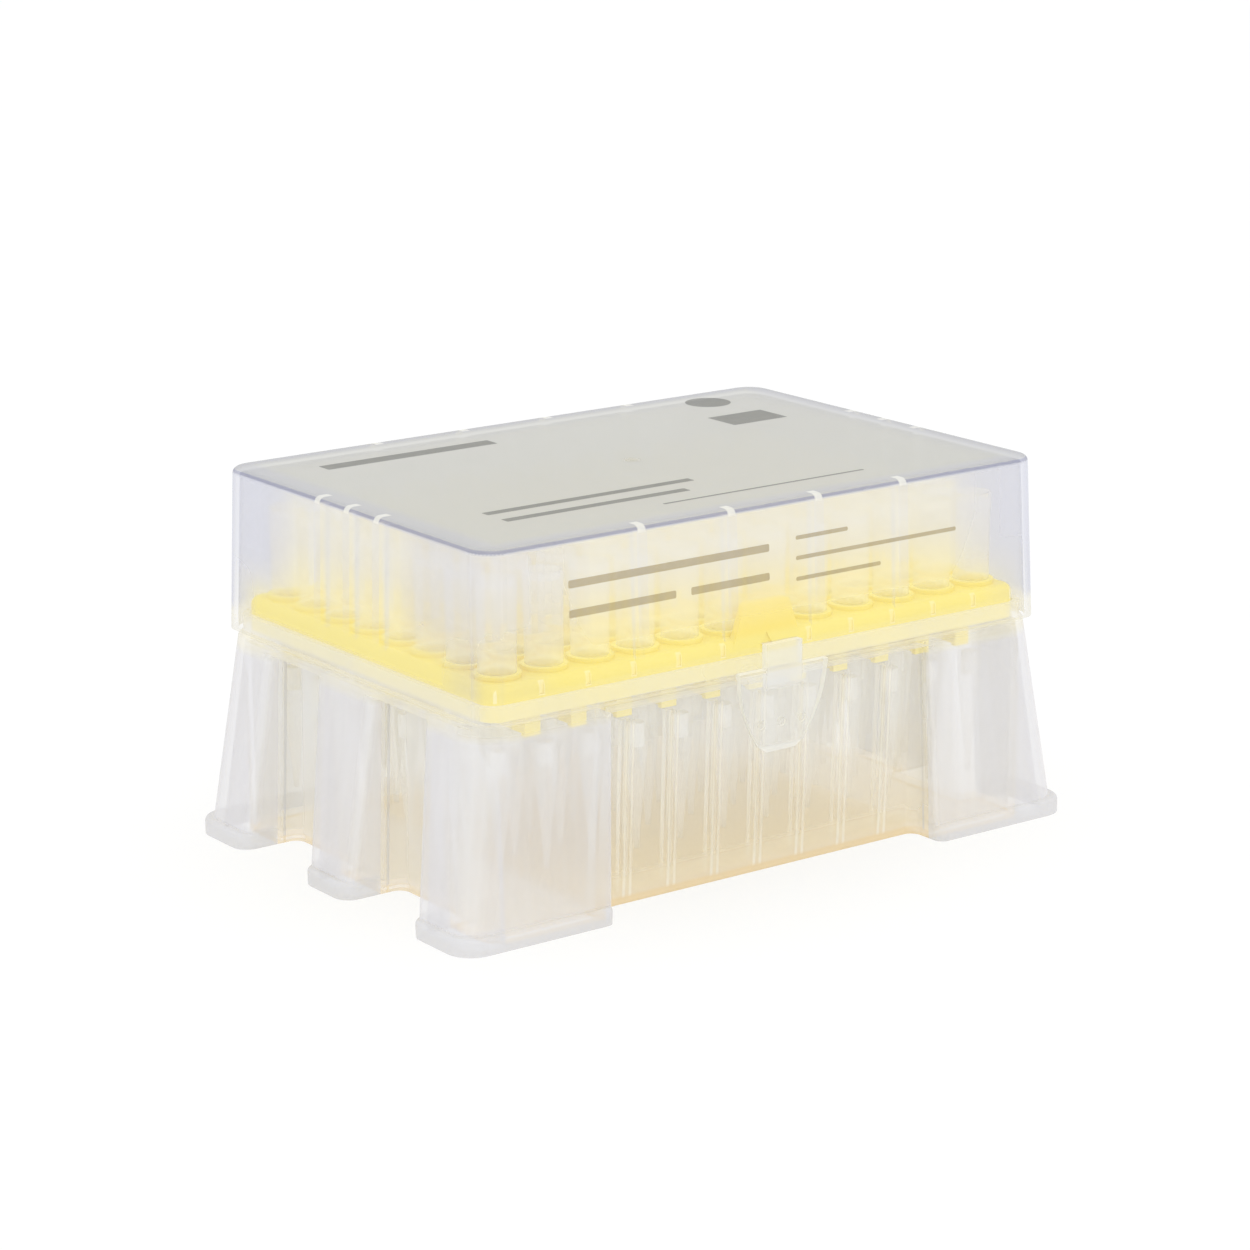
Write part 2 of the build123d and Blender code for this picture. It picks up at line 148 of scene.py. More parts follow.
class TipBoxLooks(bpy.types.PropertyGroup):
    """Linear colours of the plastics, the filters and the inks."""

    lid_side: shade("Lid side", "Clear lid walls", 0.54, 0.545, 0.64)
    lid_top: shade("Lid top", "Top of the lid", 0.535, 0.53, 0.48)
    lid_border: shade("Lid top border", "Outer band of the top of the lid", 0.48, 0.48, 0.50)
    # Painted dark shade line along the rounded top edge of the lid
    lid_edge_shade: shade("Lid edge", "Line along the top edge of the lid", 0.24, 0.25, 0.38)
    # Painted highlights on the rib ends at the top edge and on the rim of the latch
    lid_tick_highlight: shade("Rib end", "Ends of the lid ribs and the rim of the latch", 0.86, 0.85, 0.80)
    lid_rib: shade("Lid rib", "Ribs down the inside of the lid walls", 0.72, 0.72, 0.745)
    # Painted cream light that the tips scatter onto the lid walls in front of them
    lid_scattered_light: shade("Lid by the tips", "Haze on the walls in front of the tips", 0.78, 0.75, 0.66)
    # Painted yellow light from the tray on the lid walls, just above it and level with it
    lid_warm_tray_light: shade("Lid above the tray", "Haze just above the tray", 0.94, 0.86, 0.54)
    lid_tray_light: shade("Lid by the tray", "Haze level with the tray", 0.95, 0.81, 0.25)
    lid_end: shade("Lid past the tips", "Lid walls beyond the last tips", 0.61, 0.617, 0.716)
    latch: shade("Latch", "Face of the latch shield", 0.78, 0.77, 0.74)
    tip: shade("Tip head", "Heads of the tips", 0.92, 0.88, 0.76)
    tip_glow: shade("Tip by the tray", "Tips where the tray lights them", 0.97, 0.84, 0.36)
    tip_stem: shade("Tip stem", "Stems of the tips", 0.80, 0.78, 0.73)
    # Painted warm light near the tub floor, on the points of the tips
    tip_point: shade("Tip point", "Points of the tips", 0.80, 0.75, 0.66)
    skirt: shade("Skirt", "Skirt and feet of the base", 0.72, 0.705, 0.735)
    # Painted highlight on the rounded upright corners of the feet
    skirt_corner_highlight: shade("Skirt corner", "Rounded upright corners of the feet", 0.78, 0.77, 0.79)
    foot: shade("Foot rim", "Rim round the feet", 0.68, 0.67, 0.69)
    lip: shade("Lip", "Upper edge of the base, lit by the tray", 0.90, 0.84, 0.64)
    lip_pale: shade("Lip, pale parts", "Lip where the tray lights it less", 0.82, 0.79, 0.71)
    tub: shade("Tub", "Tub walls", 0.80, 0.785, 0.755)
    tub_far: shade("Tub far side", "Inside of the tub walls seen across it", 0.58, 0.58, 0.59)
    # Painted warm light from the yellow tray near the tub floor, and a painted reflection of it
    # along the lowest edge
    tub_low_tray_light: shade("Tub floor", "Tub near its floor", 0.83, 0.71, 0.49)
    tub_rim_reflection: shade("Tub bottom edge", "Lowest edge of the tub", 0.82, 0.63, 0.34)
    tray: shade("Tray", "Yellow tray", 0.98, 0.82, 0.20)
    tray_tab: shade("Tray tab", "Grip tab in the middle of the tray's front", 0.93, 0.72, 0.12)
    # Painted highlight in the upright grooves of the tray's front
    tray_tick_highlight: shade("Tray tick", "Upright grooves in the tray's front", 0.985, 0.87, 0.40)
    filter_dark: shade("Filter, dark grains", "Darker grains of the filters", 0.80, 0.78, 0.73)
    filter_pale: shade("Filter, pale grains", "Paler grains of the filters", 0.88, 0.86, 0.81)
    filter_opacity: share("Filter opacity", "How densely the filters cover", 0.5)
    gold_ink: shade("Gold ink", "Print on the front", 0.28, 0.21, 0.09)
    grey_ink: shade("Grey ink", "Print on the top", 0.11, 0.11, 0.10)
    ink_opacity: share("Ink opacity", "How densely the print covers", 0.62)


# ---------------------------------------------------------------- shader parts

GROUPS = {}


def link(tree, output, target):
    """Link an output socket to an input socket."""
    tree.links.new(output, target)


def feed(tree, value, target):
    """Give an input its value: a socket is linked, anything else is set on it."""
    if isinstance(value, bpy.types.NodeSocket):
        link(tree, value, target)
    else:
        target.default_value = value


def math_node(tree, operation, *values, clamp=False):
    """One Math node; the values are sockets or numbers. Returns its output socket."""
    node = tree.nodes.new("ShaderNodeMath")
    node.operation = operation
    node.use_clamp = clamp
    for socket, value in zip(node.inputs, values):
        feed(tree, value, socket)
    return node.outputs[0]


def group(name, inputs, outputs, build):
    """Shader node group made once by build(tree, inputs, outputs) and then shared by name."""
    if name not in GROUPS:
        made = bpy.data.node_groups.new(name, "ShaderNodeTree")
        for way, labels in (("INPUT", inputs), ("OUTPUT", outputs)):
            for label in labels:
                made.interface.new_socket(label, in_out=way, socket_type="NodeSocketFloat")
        source = made.nodes.new("NodeGroupInput")
        sink = made.nodes.new("NodeGroupOutput")
        build(made, source.outputs, sink.inputs)
        GROUPS[name] = made
    return GROUPS[name]


def use(tree, shared, **values):
    """Place a shared group in a tree; values are numbers or sockets by input name."""
    node = tree.nodes.new("ShaderNodeGroup")
    node.node_tree = shared
    for name, value in values.items():
        feed(tree, value, node.inputs[name])
    return node.outputs


def build_place(tree, source, sink):
    """Object coordinates times 1000, so that patterns are written in mm."""
    coordinates = tree.nodes.new("ShaderNodeTexCoord")
    scale = tree.nodes.new("ShaderNodeVectorMath")
    scale.operation = "SCALE"
    scale.inputs["Scale"].default_value = 1.0 / MM
    split = tree.nodes.new("ShaderNodeSeparateXYZ")
    link(tree, coordinates.outputs["Object"], scale.inputs[0])
    link(tree, scale.outputs[0], split.inputs[0])
    for axis in "XYZ":
        link(tree, split.outputs[axis], sink[axis])


def place(tree):
    """Object coordinates in mm, as three sockets."""
    out = use(tree, group("PlaceInMillimetres", (), "XYZ", build_place))
    return out["X"], out["Y"], out["Z"]


def facing_axes(tree):
    """Absolute parts of the surface normal in the object's own axes, as three sockets."""
    coordinates = tree.nodes.new("ShaderNodeTexCoord")
    size = tree.nodes.new("ShaderNodeVectorMath")
    size.operation = "ABSOLUTE"
    split = tree.nodes.new("ShaderNodeSeparateXYZ")
    link(tree, coordinates.outputs["Normal"], size.inputs[0])
    link(tree, size.outputs[0], split.inputs[0])
    return split.outputs["X"], split.outputs["Y"], split.outputs["Z"]


def outer_face(tree):
    """1 where the eye meets a wall from outside its plastic, 0 from within it."""
    geometry = tree.nodes.new("ShaderNodeNewGeometry")
    return inverse(tree, geometry.outputs["Backfacing"])


# Masks, which run from 0 to 1, and the distances that they are cut from


def absolute(tree, value):
    """Size of a value without its sign."""
    return math_node(tree, "ABSOLUTE", value)


def inverse(tree, mask):
    """1 - mask."""
    return math_node(tree, "SUBTRACT", 1.0, mask)


def span(tree, value, start, end):
    """0 where value is start, 1 where it is end, straight between and held outside."""
    node = tree.nodes.new("ShaderNodeMapRange")
    node.inputs["From Min"].default_value = start
    node.inputs["From Max"].default_value = end
    link(tree, value, node.inputs["Value"])
    return node.outputs[0]


def stripe(tree, value, middle, half, soft=0.3):
    """1 where the size of value is within half of middle, falling to 0 over soft."""
    away = absolute(tree, math_node(tree, "SUBTRACT", absolute(tree, value), middle))
    return span(tree, away, half + soft, half)


def pitch_beat(tree, value):
    """Signed distance in mm to the nearest whole number of tip pitches.

    (value + (COLUMNS + 1/2) pitch) mod pitch - pitch / 2; the shift keeps the left side positive.
    """
    shifted = math_node(tree, "ADD", value, (COLUMNS + 0.5) * PITCH)
    return math_node(tree, "SUBTRACT", math_node(tree, "MODULO", shifted, PITCH), PITCH / 2)


def both(tree, *masks):
    """Product of masks and strengths."""
    out = masks[0]
    for mask in masks[1:]:
        out = math_node(tree, "MULTIPLY", out, mask)
    return out


def either(tree, *masks):
    """Largest of masks."""
    out = masks[0]
    for mask in masks[1:]:
        out = math_node(tree, "MAXIMUM", out, mask)
    return out


def blend(tree, mask, low, high):
    """low + (high - low) * mask; low is a number or a socket, high is a number."""
    if isinstance(low, (int, float)):
        return math_node(tree, "ADD", both(tree, mask, high - low), low)
    rest = both(tree, math_node(tree, "SUBTRACT", high, low), mask)
    return math_node(tree, "ADD", low, rest)


def layered(tree, value, *coats):
    """Number after coats laid one over another; each coat is (mask, number)."""
    for mask, coat in coats:
        value = blend(tree, mask, value, coat)
    return value


def from_corner(tree, wide, deep, half, radius):
    """Distance in mm outwards from the corner centres of a round-cornered outline.

    sqrt(max(wide - cx, 0) ** 2 + max(deep - cy, 0) ** 2), where the centre (cx, cy) lies inside the
    half sizes by the radius of the corner.
    """
    squares = []
    for value, reach in zip((wide, deep), half):
        past = math_node(tree, "MAXIMUM", math_node(tree, "SUBTRACT", value, reach - radius), 0.0)
        squares.append(math_node(tree, "POWER", past, 2.0))
    return math_node(tree, "SQRT", math_node(tree, "ADD", *squares))


def at_ribs(tree, value, places, half, soft=0.3):
    """1 across the ribs that stand at each of the places, on both sides of the middle."""
    return either(tree, *(stripe(tree, value, middle, half, soft) for middle in places))


def mix_colour(tree, factor, a, b):
    """Linear mix of two colours; each is a socket or an RGB triple."""
    node = tree.nodes.new("ShaderNodeMix")
    node.data_type = "RGBA"
    link(tree, factor, node.inputs[0])
    for value, target in ((a, node.inputs[6]), (b, node.inputs[7])):
        feed(tree, value if isinstance(value, bpy.types.NodeSocket) else (*value, 1.0), target)
    return node.outputs[2]


def painted(tree, colour, *coats):
    """Colour after coats laid one over another; each coat is (mask, colour)."""
    for mask, coat in coats:
        colour = mix_colour(tree, mask, colour, coat)
    return colour


def ramp(tree, value, stops):
    """Colour along value, held beyond the ends; stops are (value, colour) in rising order."""
    low, high = stops[0][0], stops[-1][0]
    node = tree.nodes.new("ShaderNodeValToRGB")
    elements = node.color_ramp.elements
    while len(elements) < len(stops):
        elements.new(0.5)
    for element, (at, colour) in zip(elements, stops):
        element.position = (at - low) / (high - low)
        element.color = (*colour, 1.0)
    link(tree, span(tree, value, low, high), node.inputs["Fac"])
    return node.outputs["Color"]


def noise(tree, scale, detail=2.0, drawn_out=1.0):
    """Noise fixed to the object, its spots drawn out along Z by a factor."""
    coordinates = tree.nodes.new("ShaderNodeTexCoord").outputs["Object"]
    if drawn_out != 1.0:
        squeeze = tree.nodes.new("ShaderNodeMapping")
        squeeze.inputs["Scale"].default_value = (1.0, 1.0, 1.0 / drawn_out)
        link(tree, coordinates, squeeze.inputs["Vector"])
        coordinates = squeeze.outputs["Vector"]
    node = tree.nodes.new("ShaderNodeTexNoise")
    node.inputs["Detail"].default_value = detail
    feed(tree, scale, node.inputs["Scale"])
    link(tree, coordinates, node.inputs["Vector"])
    return node.outputs["Fac"]


def build_grain(tree, source, sink):
    """Fine even grain of moulded plastic, as a height."""
    link(tree, noise(tree, source["Scale"]), sink["Height"])


def build_see_through(tree, source, sink):
    """Opacity of a clear or milky wall.

    opacity = body + (edge - body) * facing ** power, where facing is 0 seen square on and 1 at a
    grazing angle. After DEEPEST clear faces the wall closes, so that no ray is lost between them.
    """
    bent = math_node(tree, "POWER", source["Facing"], source["Power"])
    rise = math_node(tree, "SUBTRACT", source["Edge"], source["Body"])
    opacity = math_node(tree, "ADD", both(tree, bent, rise), source["Body"], clamp=True)
    closed = math_node(tree, "GREATER_THAN", source["Layers"], DEEPEST - 0.5)
    link(tree, either(tree, opacity, closed), sink["Opacity"])
    link(tree, closed, sink["Closed"])


def surface(name, roughness):
    """New material with one Principled shader. Returns (material, tree, principled node)."""
    material = bpy.data.materials.new(name)
    material.use_nodes = True
    tree = material.node_tree
    node = tree.nodes["Principled BSDF"]
    node.inputs["Roughness"].default_value = roughness
    node.inputs["IOR"].default_value = PLASTIC_IOR
    return material, tree, node


def see_through(tree, node, colour, body, edge, power):
    """Drive the shader's colour, a socket, and its opacity; body and power may be sockets too."""
    weight = tree.nodes.new("ShaderNodeLayerWeight")
    weight.inputs["Blend"].default_value = 0.5
    path = tree.nodes.new("ShaderNodeLightPath")
    shared = group("SeeThrough", ("Facing", "Layers", "Body", "Edge", "Power"),
                   ("Opacity", "Closed"), build_see_through)
    out = use(tree, shared, Facing=weight.outputs["Facing"],
              Layers=path.outputs["Transparent Depth"], Body=body, Edge=edge, Power=power)
    link(tree, mix_colour(tree, out["Closed"], colour, DEEP_WHITE), node.inputs["Base Color"])
    link(tree, out["Opacity"], node.inputs["Alpha"])


def fine_bump(tree, node, scale, strength):
    """Give the shader a fine grain; a higher scale makes it finer."""
    shared = group("FineGrain", ("Scale",), ("Height",), build_grain)
    bump = tree.nodes.new("ShaderNodeBump")
    bump.inputs["Strength"].default_value = strength
    bump.inputs["Distance"].default_value = GRAIN_DEPTH * MM
    link(tree, use(tree, shared, Scale=scale)["Height"], bump.inputs["Height"])
    link(tree, bump.outputs[0], node.inputs["Normal"])


# ---------------------------------------------------------------- materials

# Bounds on nx, ny and nz are parts of the unit normal, all others are in mm. A coat covers those
# before it, and its opacity is the one seen square on


def lid_material(looks):
    """Clear polypropylene.

    Greyer where it lies flat, with a painted dark shade line along its top edge and painted
    highlights at the rib ends and round the latch; painted cream light scattered from the tips
    where its walls stand close to them, painted yellow tray light level with the tray; whiter on
    the latch.
    """
    material, tree, node = surface("clear_lid", roughness=0.09)
    x, y, z = place(tree)
    nx, ny, nz = facing_axes(tree)
    wide, deep = absolute(tree, x), absolute(tree, y)
    half_length, half_width = LID_HALF

    # Top: its flat part, the outer band of that, the painted shade line round its edge and the
    # rib ends in it, with their painted highlights
    flat = both(tree, span(tree, nz, 0.70, 0.90), span(tree, z, 60.0, 61.0))
    band = both(
        tree, flat, either(tree, span(tree, wide, 51.5, 54.0), span(tree, deep, 35.0, 37.5)))
    top = span(tree, z, LID_TOP_Z - 1.2, LID_TOP_Z - 0.9)
    border = both(
        tree, top, either(tree, span(tree, wide, 50.0, 51.0), span(tree, deep, 35.0, 36.0)))
    edge = both(tree, border, span(tree, nz, 0.9, 0.7))
    # Painted dark shade line round the rounded top edge
    line = both(tree, border, span(tree, nz, 0.25, 0.45), span(tree, nz, 0.85, 0.70))
    on_side = both(tree, span(tree, deep, 37.0, 37.5), at_ribs(tree, x, SIDE_RIB_X, half=0.6))
    on_end = both(tree, span(tree, wide, 54.6, 55.1), at_ribs(tree, y, END_RIB_Y, half=0.6))
    # Painted highlights where the ribs meet the top edge
    tick_highlight = both(tree, top, either(tree, on_side, on_end))

    # Latch: all of its face, the edge round it with its painted highlight, and the boss in the
    # middle
    latch = span(tree, y, -half_width - 0.35, -half_width - 0.45)
    toe = both(tree, span(tree, z, 24.2, 23.4), 0.7)
    # Painted highlight round the latch's edge and along its lower toe
    latch_edge_highlight = both(tree, latch, either(tree, span(tree, ny, 0.5, 0.3), toe))
    boss = both(tree, latch, span(tree, wide, 3.9, 3.5), span(tree, z, 33.5, 34.5))

    # Walls: the draft is undone, so that places on them are taken as if they stood upright
    lean = math_node(tree, "MULTIPLY", math_node(tree, "SUBTRACT", z, LID_LOW_Z), LID_SLOPE)
    full_wide = math_node(tree, "ADD", wide, lean)
    full_deep = math_node(tree, "ADD", deep, lean)
    reach = from_corner(tree, full_wide, full_deep, LID_HALF, LID_R)
    skin = span(tree, reach, LID_R - 0.5, LID_R - 0.2)
    side = span(tree, full_deep, half_width - 0.7, half_width - 0.3)
    end = span(tree, full_wide, half_length - 0.75, half_length - 0.35)
    by_tips = either(tree, both(tree, side, span(tree, wide, 50.0, 37.0)),
                     both(tree, end, span(tree, deep, 27.0, 16.0)))
    by_tray = either(tree, both(tree, side, span(tree, wide, 53.0, 44.0)),
                     both(tree, end, span(tree, deep, 36.0, 28.0)))
    at_rib = either(tree, both(tree, side, at_ribs(tree, x, SIDE_RIB_X, half=0.9, soft=0.25)),
                    both(tree, end, at_ribs(tree, y, END_RIB_Y, half=0.9, soft=0.25)))
    past_tips = math_node(tree, "SUBTRACT", skin, by_tips, clamp=True)

    # Faces: the outside of a wall, which the near walls show, and the inside, which the far ones do
    steep = span(tree, nz, 0.3, 0.1)
    outer = outer_face(tree)
    near = both(tree, steep, outer, inverse(tree, latch))
    above_lip = span(tree, z, 39.5, 41.0)
    # Painted cream light scattered from the tips, on the near walls in front of them
    haze = both(tree, by_tips, near)
    # Painted yellow light from the tray on the near walls, from the lip up, fading out between z 45
    # and 53
    glow = both(tree, by_tray, near, span(tree, z, 53.0, 45.0), above_lip)
    # Both painted lights together: the tip light above the lip, and the tray light
    tray_and_tip_light = either(tree, both(tree, haze, above_lip), glow)
    clear_end = both(tree, past_tips, near, span(tree, z, 44.0, 52.0))
    corner = both(tree, span(tree, nx, 0.05, 0.2), span(tree, ny, 0.05, 0.2), skin, near)
    rib = both(tree, at_rib, near, span(tree, z, 43.0, 52.0), 0.6)
    rib_far = both(tree, stripe(tree, reach, LID_R - WALL - LID_RIB_D, half=0.2, soft=0.1),
                   span(tree, z, 43.0, 50.0), steep)
    far = both(tree, stripe(tree, reach, LID_R - WALL, half=0.2, soft=0.1), outer, steep)

    # Painted light: yellow tray light low down, warm tray light higher up, fading into the painted
    # cream tip light
    lit = ramp(tree, z, ((44.0, looks.lid_tray_light), (49.0, looks.lid_warm_tray_light), (56.0, looks.lid_scattered_light)))
    colour = painted(
        tree, mix_colour(tree, flat, looks.lid_side, looks.lid_top),
        (band, looks.lid_border),
        # Painted cream scattered light on the lowest band of the lid walls
        (span(tree, z, 41.0, 39.5), looks.lid_scattered_light),
        (tray_and_tip_light, lit),
        (clear_end, looks.lid_end),
        (either(tree, rib, rib_far), looks.lid_rib),
        (latch, looks.latch),
        # Painted dark shade line round the top edge
        (line, looks.lid_edge_shade),
        # Painted highlights at the rib ends and on the latch rim
        (either(tree, tick_highlight, latch_edge_highlight), looks.lid_tick_highlight))
    body = layered(
        tree, 0.08,
        (flat, 0.55),
        (band, 0.72),
        (tray_and_tip_light, 0.30),
        (both(tree, haze, span(tree, z, 44.0, 57.0)), 0.40),
        (clear_end, 0.37),
        (far, 0.18),
        (both(tree, far, span(tree, wide, 34.0, 42.0)), 0.45),
        (rib_far, 0.30),
        (latch, 0.26),
        (boss, 0.50),
        (edge, 0.60),
        (tick_highlight, 0.60),
        (latch_edge_highlight, 0.80))
    see_through(tree, node, colour, body, edge=0.90, power=blend(tree, corner, 2.6, 1.0))
    return material


def tip_material(looks):
    """Clear hazy tip wall, painted with yellow tray light and with warm light by the floor."""
    material, tree, node = surface("clear_tip", roughness=0.30)
    x, y, z = place(tree)
    # Painted light: warm by the floor at the points, yellow tray light level with the tray, fading
    # into the plain head colour
    colour = ramp(tree, z, (
        (8.0, looks.tip_point), (24.0, looks.tip_stem), (34.0, looks.tip_stem),
        (40.0, looks.tip_glow), (45.0, looks.tip_glow), (56.0, looks.tip)))
    head = span(tree, z, TIP_STEP_Z - 0.5, TIP_STEP_Z + 0.1)
    outermost = either(
        tree, span(tree, absolute(tree, y), ROW_Y[-1] - 4.5, ROW_Y[-1] - 3.0),
        span(tree, absolute(tree, x), COLUMN_X[-1] - 4.5, COLUMN_X[-1] - 3.0))
    # The outermost heads take back half of the plain head colour, so they carry less painted tray
    # light
    colour = painted(tree, colour, (both(tree, outermost, head, 0.5), looks.tip))
    head_foot = both(tree, head, span(tree, z, 48.0, 43.0))
    body = layered(tree, 0.24, (head_foot, 0.42))
    see_through(tree, node, colour, body, edge=0.30, power=2.0)
    return material


def base_material(looks):
    """Milky polypropylene.

    A very clear skirt with faint upright streaks and painted highlights on its rounded corners, a
    hazier tub with painted warm tray light close to its floor and a painted reflection of it along
    its lowest edge, pale ribs on the recess walls, and a lip that the tray lights in patches.
    """
    material, tree, node = surface("milky_base", roughness=0.28)
    x, y, z = place(tree)
    nx, ny, _ = facing_axes(tree)
    wide, deep = absolute(tree, x), absolute(tree, y)
    reach = from_corner(tree, wide, deep, TUB_HALF, TUB_R)
    outer = outer_face(tree)

    # Skirt and feet, which stand out past the tub
    skirt = span(tree, reach, TUB_R + 0.1, TUB_R + 0.3)
    veil = both(tree, outer, skirt)
    # Painted highlight on the skirt's rounded upright corners
    corner = both(tree, veil, span(tree, nx, 0.3, 0.6), span(tree, ny, 0.3, 0.6))
    rim = both(tree, skirt, span(tree, z, FOOT_TOP_Z + 0.3, FOOT_TOP_Z))
    lip = both(tree, outer, span(tree, z, 33.0, 34.5))
    patches = span(tree, noise(tree, scale=110.0), 0.42, 0.62)
    streaks = span(tree, noise(tree, scale=210.0, detail=1.0, drawn_out=20.0), 0.36, 0.66)

    # Tub: the painted warm tray light near its floor, its ribs, and the inside of its far walls
    tub = inverse(tree, skirt)
    recess = span(tree, wide, 35.5, 34.0)
    # Painted warm tray light near the tub floor, strongest on the recess walls
    warm = both(tree, span(tree, z, 24.0, 0.5), blend(tree, recess, 0.45, 1.0))
    low = both(tree, tub, recess, span(tree, z, 6.0, 0.5))
    rib = both(tree, tub, stripe(tree, pitch_beat(tree, x), 0.65, half=0.15, soft=0.25),
               span(tree, wide, 29.0, 28.5), span(tree, z, 32.0, 30.5),
               span(tree, deep, 33.0, 33.2))
    far = both(tree, outer, stripe(tree, reach, TUB_R - WALL, half=0.2, soft=0.1))

    inner = painted(
        tree, mix_colour(tree, warm, looks.tub, looks.tub_low_tray_light),
        (rib, looks.tip),
        (far, looks.tub_far),
        # Painted reflection of the tray's yellow along the tub's lowest edge
        (span(tree, z, 1.6, 1.0), looks.tub_rim_reflection))
    colour = painted(
        # Skirt, with its painted corner highlight
        tree, mix_colour(tree, corner, looks.skirt, looks.skirt_corner_highlight),
        (tub, inner),
        (rim, looks.foot),
        (lip, mix_colour(tree, patches, looks.lip, looks.lip_pale)))
    body = layered(
        tree, 0.06,
        (tub, 0.20),
        (rib, 0.34),
        (far, 0.25),
        (both(tree, far, span(tree, wide, 34.0, 42.0)), 0.48),
        (veil, 0.38))
    body = layered(
        tree, math_node(tree, "ADD", body, both(tree, veil, streaks, 0.08)),
        (corner, 0.50),
        (low, 0.60),
        (rim, 0.52),
        (lip, 0.26))
    see_through(tree, node, colour, body, edge=0.75, power=1.8)
    fine_bump(tree, node, scale=220.0, strength=0.15)
    return material


def tray_material(looks):
    """Yellow polypropylene, deeper on the grip tab, with painted highlights in the front grooves.
    """
    material, tree, node = surface("yellow_tray", roughness=0.28)
    x, y, z = place(tree)
    wide = absolute(tree, x)
    darker = [0.9 * part for part in looks.tray]
    tab = both(tree, span(tree, y, -35.8, -35.9), span(tree, z, 41.5, 42.5),
               span(tree, wide, 7.5, 7.4))
    # Painted highlight in the upright grooves along the front
    tick_highlight = both(tree, stripe(tree, pitch_beat(tree, x), 0.0, half=0.5, soft=0.1),
                span(tree, y, -36.8, -36.9), span(tree, z, 39.1, 39.2), span(tree, wide, 3.0, 4.0))
    colour = painted(
        tree, mix_colour(tree, noise(tree, scale=60.0), darker, looks.tray),
        (tab, looks.tray_tab),
        (tick_highlight, looks.tray_tick_highlight))
    link(tree, colour, node.inputs["Base Color"])
    fine_bump(tree, node, scale=400.0, strength=0.15)
    return material


def filter_material(looks):
    """White pressed grains, half hidden in the haze of the tip that holds them."""
    material, tree, node = surface("white_filter", roughness=0.85)
    grains = noise(tree, scale=2500.0, detail=3.0)
    colour = mix_colour(tree, grains, looks.filter_dark, looks.filter_pale)
    link(tree, colour, node.inputs["Base Color"])
    node.inputs["Alpha"].default_value = looks.filter_opacity
    fine_bump(tree, node, scale=3000.0, strength=0.6)
    return material


def ink_material(name, colour, opacity):
    """Even, slightly see-through ink with a faint drift in its tone."""
    material, tree, node = surface(name, roughness=0.5)
    lighter = [min(1.0, 1.25 * part) for part in colour]
    drift = mix_colour(tree, noise(tree, scale=300.0), colour, lighter)
    link(tree, drift, node.inputs["Base Color"])
    node.inputs["Alpha"].default_value = opacity
    return material


# ---------------------------------------------------------------- meshes


def mesh_object(name, points, faces, material, smooth=True):
    """Object at the origin from points in mm and faces."""
    mesh = bpy.data.meshes.new(name)
    mesh.from_pydata((np.asarray(points) * MM).tolist(), [], [list(map(int, f)) for f in faces])
    mesh.polygons.foreach_set("use_smooth", [smooth] * len(mesh.polygons))
    mesh.materials.append(material)
    mesh.update()
    made = bpy.data.objects.new(name, mesh)
    bpy.context.scene.collection.objects.link(made)
    return made


def lathe(profile, sides, flute):
    """Surface of revolution about Z.

    profile is rows of (r, z). Point k of row i stands at angle t = 2 pi k / sides, at
    (r cos t, r sin t, z), with r shortened by flute(z, t). Returns points and quads.
    """
    rows = np.array(profile, float)
    turn = np.arange(sides) * 2 * math.pi / sides
    height = np.repeat(rows[:, 1:], sides, axis=1)
    radius = np.repeat(rows[:, :1], sides, axis=1) - flute(height, turn[None, :])
    points = np.stack([radius * np.cos(turn), radius * np.sin(turn), height], -1).reshape(-1, 3)
    index = np.arange(len(rows) * sides).reshape(len(rows), sides)
    a, b = index[:-1], index[1:]
    quads = np.stack([a, np.roll(a, -1, 1), np.roll(b, -1, 1), b], -1).reshape(-1, 4)
    return points, quads


# Outside of a tip from its point up, over its top and into its mouth, as (radius, height)
TIP_PROFILE = [
    (0.24, 7.8), (0.45, 7.8), (0.62, 11.0), (1.0, 15.0), (1.5, 20.2), (1.95, 25.0), (2.05, 29.0),
    (2.22, 34.0), (2.32, 38.0), (2.42, TIP_STEP_Z), (3.15, 42.52), (3.17, 43.2), (3.2, 50.0),
    (3.24, 54.6), (3.3, 55.0), (3.3, 57.6), (3.18, 57.8), (2.82, 57.8), (2.75, 57.3), (2.68, 56.4),
]
TIP_SIDES = 36
FLUTES, FLUTE_DEPTH = 12, 0.12
FLUTE_LOW, FLUTE_HIGH, FLUTE_FADE = 43.2, 54.8, 0.6


def head_flutes(height, turn):
    """Depth of the shallow upright flutes round a tip's head, at height z and angle t.

    FLUTE_DEPTH * fade * (0.5 - 0.5 cos(FLUTES t)), where fade rises from 0 at either end of the
    flutes to 1 over FLUTE_FADE.
    """
    rise = np.clip((height - FLUTE_LOW) / FLUTE_FADE, 0, 1)
    fall = np.clip((FLUTE_HIGH - height) / FLUTE_FADE, 0, 1)
    return FLUTE_DEPTH * (rise * fall) * (0.5 - 0.5 * np.cos(FLUTES * turn))


def tip_column(number, x, material):
    """One column of fluted tips at x, in place of the column's plain solids."""
    points, quads = lathe(TIP_PROFILE, TIP_SIDES, head_flutes)
    column = np.vstack([points + np.array([x, y, 0.0]) for y in ROW_Y])
    faces = np.vstack([quads + row * len(points) for row in range(ROWS)])
    made = mesh_object(f"tips_{number:02d}", column, faces, material)
    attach(made, "base")
    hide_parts(f"tips_column_{number:02d}")
    return made


